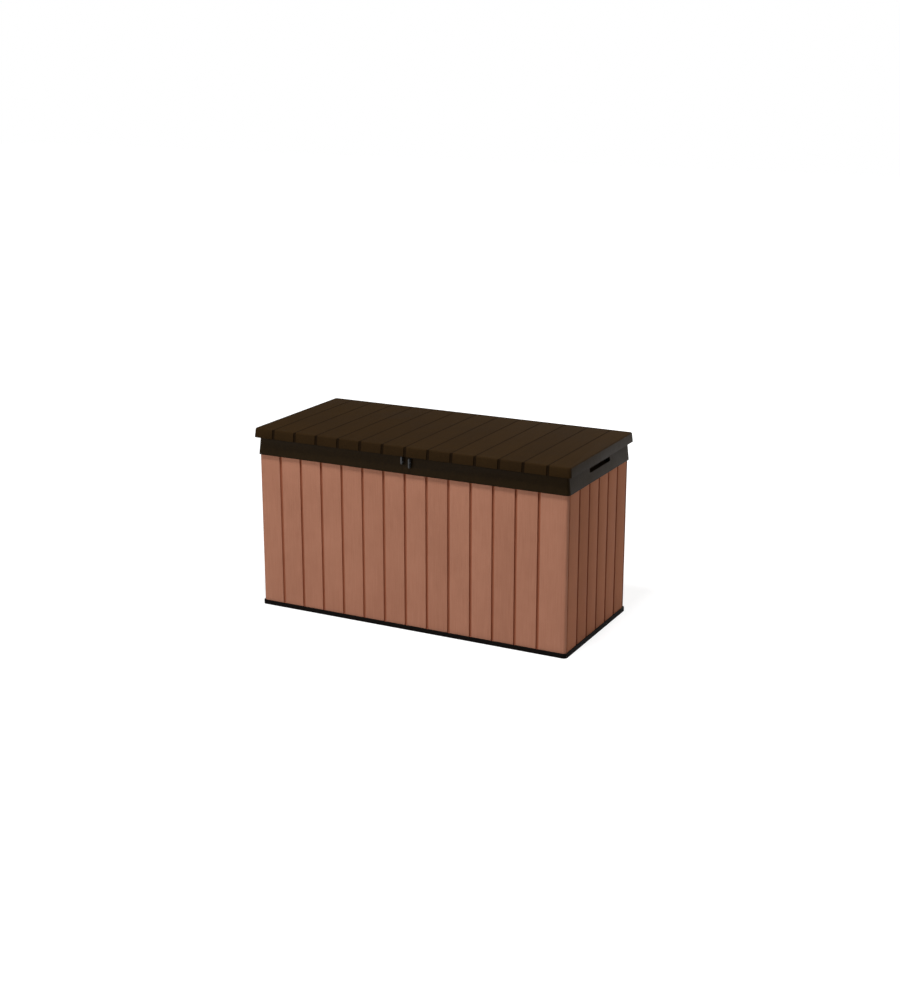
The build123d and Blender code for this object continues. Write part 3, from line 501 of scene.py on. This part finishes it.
def cut_grooves(grooves, ends):
    """Flat-bottomed grooves with rounded edges in the outer face; at a wall's end it is half a groove."""
    beds = beside(grooves, plank_half_bed)
    mouths = beside(grooves, plank_half_groove)
    for x in grooves:
        cut(0, [x - plank_half_groove, x - plank_half_bed, x + plank_half_bed, x + plank_half_groove])
    pick("VERT", lambda v: v.co.y < tiny and near(v.co.x, beds + ends))
    slide(y=plank_groove_depth)
    pick("EDGE", lambda e: all(v.co.y < tiny and near(v.co.x, mouths) for v in e.verts))
    round_edges(plank_mouth_rounding, segments=3)
    pick("EDGE", lambda e: all(near(v.co.y, [plank_groove_depth]) and near(v.co.x, beds) for v in e.verts))
    round_edges(plank_bed_rounding)


def sink_cells(half, lines, end_edge, pad):
    """Cells in the inner face, with ribs behind the grooves, that leave a gas spring's pad solid."""
    starts = [-half + end_edge] + [x + cell_rib / 2 for x in lines]
    stops = [x - cell_rib / 2 for x in lines] + [half - end_edge]
    columns = list(zip(starts, stops))
    pitch = (cell_high - cell_low + cell_rail) / cell_rows
    rows = [(cell_low + row * pitch, cell_low + (row + 1) * pitch - cell_rail) for row in range(cell_rows)]
    cut(0, starts + stops)
    cut(2, [z for row in rows for z in row])
    if pad:
        cut(2, pad[1])
        cut(0, pad[0])

    def in_cell(face):
        spot = face.calc_center_median()
        on_pad = pad and within(spot.x, [pad[0]]) and within(spot.z, [pad[1]])
        return face.normal.y > facing and within(spot.x, columns) and within(spot.z, rows) and not on_pad

    pick("FACE", in_cell)
    pull(y=wall_skin - wall_thickness)
    pick("EDGE", lambda e: all(near(v.co.y, [wall_thickness]) for v in e.verts) and bend(e) > sharp)
    round_edges(cell_rounding)


def raise_tongue(half, top, long_wall):
    """The thin tongue that the rail closes over. A side wall's is low behind the hand slot."""
    tongue_low = wall_thickness - tongue_thickness
    tongue_half = half - tongue_low if long_wall else half
    cut(1, [tongue_low])
    cut(0, [-tongue_half, tongue_half] if long_wall else [-pocket_half, pocket_half])

    def under_tongue(face):
        spot = face.calc_center_median()
        inside = spot.y > tongue_low and abs(spot.x) < tongue_half
        return face.normal.z > facing and spot.z > shoulder - tiny and inside

    def beside_pocket(face):
        spot = face.calc_center_median()
        return face.normal.z > facing and spot.z > pocket_floor - tiny and abs(spot.x) > pocket_half

    pick("FACE", under_tongue)
    if long_wall:
        pull(z=top - shoulder)
    else:
        pull(z=pocket_floor - shoulder)
        pick("FACE", beside_pocket)
        pull(z=top - pocket_floor)


def planked_wall(name, half, shift, turn, place, finish, pad=None):
    """A wall with grooves outside, cells inside and a tongue on top, made along X and turned into place.

    A long wall has rounded ends, which are the box's corners. A side wall stands between the long walls. It
    ends in half a groove at either side, and has a solid pad among its cells, under a gas spring's bracket.
    """
    long_wall = pad is None
    bottom, top = [corner.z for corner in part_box(name)]
    piece = start_block(f"{name}_boards", (-half, 0, bottom), (half, wall_thickness, shoulder))
    if long_wall:
        pick("EDGE", lambda e: all(v.co.y < tiny and near(abs(v.co.x), [half]) for v in e.verts))
        round_edges(wall_corner, segments=6)

    lines = board_lines(2 * half, plank_pitch, shift)
    ends = [] if long_wall else [-half, half]
    grooves = lines + ends
    cut_grooves(grooves, ends)
    sink_cells(half, lines, wall_thickness + cell_edge if long_wall else cell_edge, pad)
    raise_tongue(half, top, long_wall)

    bpy.ops.object.mode_set(mode="OBJECT")
    # The groove faces take the darker clay: painted shade in the grooves.
    for face in piece.data.polygons:
        if near(face.center.x, grooves, plank_half_groove) and face.center.y < plank_groove_depth + tiny:
            face.material_index = 1
    piece.rotation_euler.z = turn
    piece.location = place
    take(piece)
    bpy.ops.object.transform_apply(location=True, rotation=True, scale=True)
    complete(piece, name, [finish, clay_groove_painted_shade])


wall_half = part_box("front_wall")[1].x
front_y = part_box("front_wall")[0].y
side_half = -front_y - wall_thickness - wall_joint
side_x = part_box("right_wall")[1].x
bracket_low, bracket_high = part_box("wall_bracket_right")
pad_across = (bracket_low.y + bracket_pad_set_in, bracket_high.y - bracket_pad_set_in)
mirrored_across = (-pad_across[1], -pad_across[0])
pad_up = (bracket_low.z - bracket_pad_margin, bracket_high.z + bracket_pad_margin)

# The long walls take the clay with the painted sheen, and the side walls its shaded copy.
planked_wall("front_wall", wall_half, front_pattern_shift, 0.0, (0, front_y, 0), long_clay_painted_sheen)
planked_wall("rear_wall", wall_half, front_pattern_shift, pi, (0, -front_y, 0), long_clay_painted_sheen)
planked_wall("right_wall", side_half, 0.0, pi / 2, (side_x, 0, 0), side_clay_shaded_copy, (pad_across, pad_up))
planked_wall("left_wall", side_half, 0.0, -pi / 2, (-side_x, 0, 0), side_clay_shaded_copy, (mirrored_across, pad_up))


# ---- lid cover ----
lid_low, lid_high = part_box("lid_cover")
lid_lines = board_lines(lid_high.x - lid_low.x, lid_pitch)


def skirt_face(z):
    """How far out the lid's front and back faces lie at a height."""
    return lid_high.y - lid_draw_in * (z - lid_low.z) / (lid_high.z - lid_low.z)


def lid_block():
    """The lid's shape: rounded upright corners, sides drawn in towards a rounded top, and hollow below."""
    piece = start_block("lid_boards", lid_low, lid_high)
    pick("EDGE", lambda e: abs(e.verts[0].co.z - e.verts[1].co.z) > tiny)
    round_edges(lid_corner, segments=6)
    for axis in (0, 1):
        for side in (lid_low[axis], lid_high[axis]):
            step = [0.0, 0.0, 0.0]
            step[axis] = -lid_draw_in if side > 0 else lid_draw_in
            pick("VERT", lambda v: v.co.z > lid_high.z - tiny and abs(v.co[axis] - side) < lid_corner + tiny)
            slide(*step)
    pick("EDGE", lambda e: all(v.co.z > lid_high.z - tiny for v in e.verts))
    round_edges(lid_rounding, lid_rounding_segments)
    pick("FACE", lambda f: f.normal.z < -facing)
    bpy.ops.mesh.inset(thickness=lid_skin, use_boundary=True, use_even_offset=True)
    pull(z=lid_high.z - lid_low.z - lid_deck)
    pick("EDGE", lambda e: all(v.co.z < lid_low.z + tiny for v in e.verts) and bend(e) > sharp)
    round_edges(rim_rounding)
    return piece


def cut_board_lines():
    """Flat-bottomed notches between the boards, down the front and back, and the lines between them on top.

    The lines are sunk only where the top rounds over, on the first two rings of the rounding. On the flat top
    paint_lid paints them as dark lines of painted shade, with no depth.
    """
    lid_half_bed = lid_half_notch - lid_notch_wall
    for x in lid_lines:
        for step in (lid_half_notch, lid_half_bed, lid_half_groove):
            cut(0, [x - step, x + step])
        cut(0, [x])

    beds = lid_lines + beside(lid_lines, lid_half_groove) + beside(lid_lines, lid_half_bed)
    outside = set()
    for v in bmesh.from_edit_mesh(bpy.context.edit_object.data).verts:
        too_far = abs(v.co.y) - (skirt_face(v.co.z) - lid_notch_depth)
        if near(v.co.x, beds) and too_far > tiny:
            outside.add((round(v.co.y, 6), round(v.co.z, 6), round(too_far, 6)))
    for y, z, too_far in sorted(outside):
        pick("VERT", lambda v: near(v.co.x, beds) and near(v.co.y, [y]) and near(v.co.z, [z]))
        slide(y=-too_far if y > 0 else too_far)

    for ring, drop in ((1, lid_groove_depth), (2, lid_groove_depth / 2)):
        height = lid_high.z - lid_rounding * (1 - cos(pi / 2 * ring / lid_rounding_segments))
        pick("VERT", lambda v: near(v.co.x, lid_lines) and near(v.co.z, [height], close))
        slide(z=-drop)
    mouths = beside(lid_lines, lid_half_groove) + beside(lid_lines, lid_half_notch)
    pick("EDGE", lambda e: all(near(v.co.x, mouths) for v in e.verts) and bend(e) > soft_bend)
    round_edges(lid_line_rounding)


def cut_hinge_notches():
    """The back of the rim is cut up over each hinge."""
    half = hinge_notch_width / 2
    for place in hinge_places:
        for way in (-1, 1):
            cut(0, [place + way * half, place + way * (half + hinge_notch_slope)])

    def on_rear_rim(vert):
        return vert.co.y > 0 and vert.co.z < lid_low.z + rim_edge

    pick("VERT", lambda v: on_rear_rim(v) and near(v.co.x, hinge_places, half + tiny))
    slide(z=hinge_notch_height)


def paint_lid(piece):
    """The end faces are smooth, without the boards' grain. Lines and notches are painted darker than the
    boards: painted shade.
    """
    # The end faces take the rails' brown, darkened by painted shade.
    piece.data.materials.append(rail_brown_painted_shade)
    piece.data.materials.append(lid_groove_painted_shade)
    end_start = lid_high.x - lid_end_reach
    for face in piece.data.polygons:
        spot = face.center
        off_line = min(abs(spot.x - x) for x in lid_lines)
        on_top = spot.z > lid_high.z - lid_groove_depth - tiny and abs(face.normal.y) < facing
        on_skirt = spot.z > lid_low.z and abs(spot.y) > skirt_face(spot.z) - lid_notch_depth - lid_skin / 4
        if abs(spot.x) > end_start and abs(face.normal.x) > end_facing:
            face.material_index = 1
        elif (off_line < lid_half_groove and on_top) or (off_line < lid_half_notch and on_skirt):
            face.material_index = 2


lid = lid_block()
cut_board_lines()
cut_hinge_notches()
complete(lid, "lid_cover", [lid_brown])
paint_lid(lid)


# ---- rails, floor panel, lugs, hinge leaves and brackets ----
rail_low, rail_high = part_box("front_rail")
deck_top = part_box("floor_panel")[1].z


def ease(cad_node, name, width, wanted, finish):
    """A CAD node's own shape with the edges that are wanted rounded."""
    piece = copy_node(cad_node, name)
    pick("EDGE", lambda e: bend(e) > stands_out and wanted(*[v.co for v in e.verts]))
    round_edges(width)
    complete(piece, cad_node, [finish])


def longer_than(least):
    return lambda a, b: (a - b).length > least


def on_rail_rim(a, b):
    """The rail's lower and upper edges, and not the short steps in them."""
    level = abs(a.z - b.z) < tiny
    outermost = a.z < rail_low.z + tiny or a.z > rail_high.z - tiny
    return level and outermost and (a - b).length > close


def line_floor():
    """The floor panel with its deck's edge rounded and shallow drain lines along the deck."""
    piece = copy_node("floor_panel", "floor_tray")
    pick("EDGE", lambda e: bend(e) > stands_out and min(v.co.z for v in e.verts) > deck_top - tiny)
    round_edges(deck_rounding)
    for y in drain_lines:
        cut(1, [y - drain_half, y, y + drain_half])
    pick("VERT", lambda v: near(v.co.y, drain_lines) and v.co.z > deck_top - tiny)
    slide(z=-drain_depth)
    complete(piece, "floor_panel", [base_black])


for side in ("front", "rear", "left", "right"):
    ease(f"{side}_rail", f"{side}_rail_trim", rail_rounding, on_rail_rim, rail_brown_painted_shade)
line_floor()
# The lugs take the lighter grey of painted sheen.
for lug in ("lid", "rail"):
    ease(f"{lug}_lock_lug", f"{lug}_lug_fin", lug_rounding, longer_than(lug_small_edge), lug_painted_sheen_grey)
for plate in [
    *[f"{part}_hinge_{place}" for part in ("rail", "lid") for place in ("left", "middle", "right")],
    *[f"{part}_bracket_{side}" for part in ("wall", "lid") for side in ("left", "right")],
]:
    ease(plate, f"{plate}_plate", plate_rounding, longer_than(plate_small_edge), hinge_steel)


# ---- gas springs ----
pivot_places = {joint["name"]: Vector(joint["pos_m"]) for joint in frame["record"]["behaviour"]["joints"]}


def crimp_cylinder(side):
    """The gas spring's tube with two rolled-in rings that hold its rod guide."""
    piece = copy_node(f"gas_cylinder_{side}", f"gas_tube_{side}")
    low, high = [pivot_places[f"{part}_pivot_{side}"] for part in ("cylinder", "rod")]
    along = (high - low).normalized()
    end = max((v.co - low).dot(along) for v in piece.data.vertices)
    for ring in ring_places:
        for step in (-ring_half, 0.0, ring_half):
            bpy.ops.mesh.select_all(action="SELECT")
            bpy.ops.mesh.bisect(plane_co=low + along * (end - ring + step), plane_no=along)

    def on_ring(vert):
        reach = (vert.co - low).dot(along)
        off_line = (vert.co - low - along * reach).length
        return near(end - reach, ring_places, ring_half / 2) and off_line > tube_radius - ring_depth

    pick("VERT", on_ring)
    bpy.ops.transform.shrink_fatten(value=-ring_depth)
    complete(piece, f"gas_cylinder_{side}", [spring_paint])


for side in ("left", "right"):
    crimp_cylinder(side)


# ---- liner ----
def sink_liner_panels():
    """The lid's liner with two rows of shallow panels, each outlined by a sunk line."""
    piece = copy_node("lid_liner", "lid_liner_panels")
    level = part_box("lid_liner")[1].z - liner_hidden
    across = [(x - liner_pitch / 2 + panel_edge, x + liner_pitch / 2 - panel_edge) for x in liner_columns]
    along = [(-panel_reach, -panel_gap), (panel_gap, panel_reach)]
    cut(0, [x for pair in across for x in pair])
    cut(1, [y for pair in along for y in pair])

    def in_panel(face):
        spot = face.calc_center_median()
        under_liner = face.normal.z < -facing and abs(spot.z - level) < close
        return under_liner and within(spot.x, across) and within(spot.y, along)

    pick("FACE", in_panel)
    pull(z=panel_depth)
    bpy.ops.mesh.inset(thickness=panel_line, use_even_offset=True)
    pull(z=-panel_depth)

    def panel_corner(edge, step):
        a, b = [v.co for v in edge.verts]
        upright = near(abs(a.z - b.z), [panel_depth]) and (a.xy - b.xy).length < tiny
        columns = [x + step * way for pair in across for x, way in zip(pair, (1, -1))]
        rows = [y + step * way for pair in along for y, way in zip(pair, (1, -1))]
        return upright and near(a.x, columns) and near(a.y, rows)

    for step, radius in ((0.0, panel_corner_radius), (panel_line, panel_corner_radius - panel_line)):
        pick("EDGE", lambda e: panel_corner(e, step))
        round_edges(radius, segments=5)
    complete(piece, "lid_liner", [liner_brown])


sink_liner_panels()


# ---- camera ----
camera_azimuth = radians(27.27)
camera_pitch = radians(16.11)
camera_distance = 5.920
camera_target = Vector((0.0295, 0.0, 0.4203))
back = Vector(
    (sin(camera_azimuth) * cos(camera_pitch), -cos(camera_azimuth) * cos(camera_pitch), sin(camera_pitch))
)
camera_data = bpy.data.cameras.new("camera")
camera_data.lens = 58.0
camera_data.sensor_width = 36.0
camera_data.clip_end = 100.0
camera = bpy.data.objects.new("camera", camera_data)
bpy.context.scene.collection.objects.link(camera)
camera.location = camera_target + back * camera_distance
camera.rotation_mode = "QUATERNION"
camera.rotation_quaternion = (-back).to_track_quat("-Z", "Y")
bpy.context.scene.camera = camera


# ---- background, floor and light ----
white = (1.0, 1.0, 1.0, 1.0)
sky_light = 0.12  # what the white background adds to the light on the box
floor_size = 40
floor_drop = 0.0004  # the floor lies this far under the box
floor_grey = (0.55, 0.55, 0.55)  # in the light that it throws back
floor_grey_seen = (0.30, 0.30, 0.30)  # where the camera sees it
floor_glow_near = 0.80  # under the box, and 1 where the floor is white
glow_start = 1.1  # the floor turns white between these distances
glow_full = 3.0


def seen_directly(tree):
    """1 on camera, glossy and transmission rays, 0 on the rest."""
    path = node(tree, "ShaderNodeLightPath")
    either = arithmetic(tree, "MAXIMUM", path.outputs["Is Camera Ray"], path.outputs["Is Glossy Ray"])
    return arithmetic(tree, "MAXIMUM", either, path.outputs["Is Transmission Ray"])


def soft_lamp(name, place, aim, width, height, power, colour=(1.0, 1.0, 1.0)):
    data = bpy.data.lights.new(name, "AREA")
    data.shape = "RECTANGLE"
    data.size = width
    data.size_y = height
    data.energy = power
    data.color = colour
    lamp = bpy.data.objects.new(name, data)
    bpy.context.scene.collection.objects.link(lamp)
    lamp.location = place
    lamp.rotation_mode = "QUATERNION"
    lamp.rotation_quaternion = (Vector(aim) - Vector(place)).to_track_quat("-Z", "Y")


world = bpy.data.worlds.new("studio")
bpy.context.scene.world = world
world.use_nodes = True
world_tree = world.node_tree
sky = world_tree.nodes["Background"]
sky.inputs["Color"].default_value = white
sky_strength = remap(world_tree, seen_directly(world_tree), 0.0, 1.0, sky_light, 1.0)
world_tree.links.new(sky_strength, sky.inputs["Strength"])

clear_selection()
bpy.ops.mesh.primitive_plane_add(size=floor_size, location=(0, 0, -floor_drop))
floor = bpy.context.object
floor.name = "floor"
bpy.ops.object.transform_apply(location=True, rotation=True, scale=True)
floor_finish, floor_tree, floor_shader = new_finish("floor_white", roughness=0.9, specular=0.0)
floor_colour = mixed_colour(floor_tree, seen_directly(floor_tree), floor_grey, floor_grey_seen)
floor_tree.links.new(floor_colour, floor_shader.inputs["Base Color"])
floor_shader.inputs["Emission Color"].default_value = white
floor_reach = node(floor_tree, "ShaderNodeVectorMath", operation="LENGTH")
floor_tree.links.new(node(floor_tree, "ShaderNodeTexCoord").outputs["Object"], floor_reach.inputs[0])
floor_glow = remap(floor_tree, floor_reach.outputs["Value"], glow_start, glow_full, floor_glow_near, 1.0)
floor_light = arithmetic(floor_tree, "MULTIPLY", seen_directly(floor_tree), floor_glow)
floor_tree.links.new(floor_light, floor_shader.inputs["Emission Strength"])
floor.data.materials.append(floor_finish)

soft_lamp("key_lamp", (-3.0, -4.4, 2.0), (0, 0, 0.35), width=2.4, height=2.0, power=130.0)
soft_lamp("top_lamp", (0.3, -1.4, 4.4), (0, 0, 0.5), width=0.9, height=0.7, power=190.0)
soft_lamp("back_lamp", (0.9, 4.8, 2.2), (0, 0, 0.4), width=2.4, height=2.0, power=170.0)
soft_lamp(
    "side_lamp", (4.4, 1.0, 1.3), (0.5, 0, 0.4), width=1.4, height=1.2, power=20.0, colour=(1.0, 0.95, 0.88)
)

bpy.context.scene.view_settings.view_transform = "Standard"
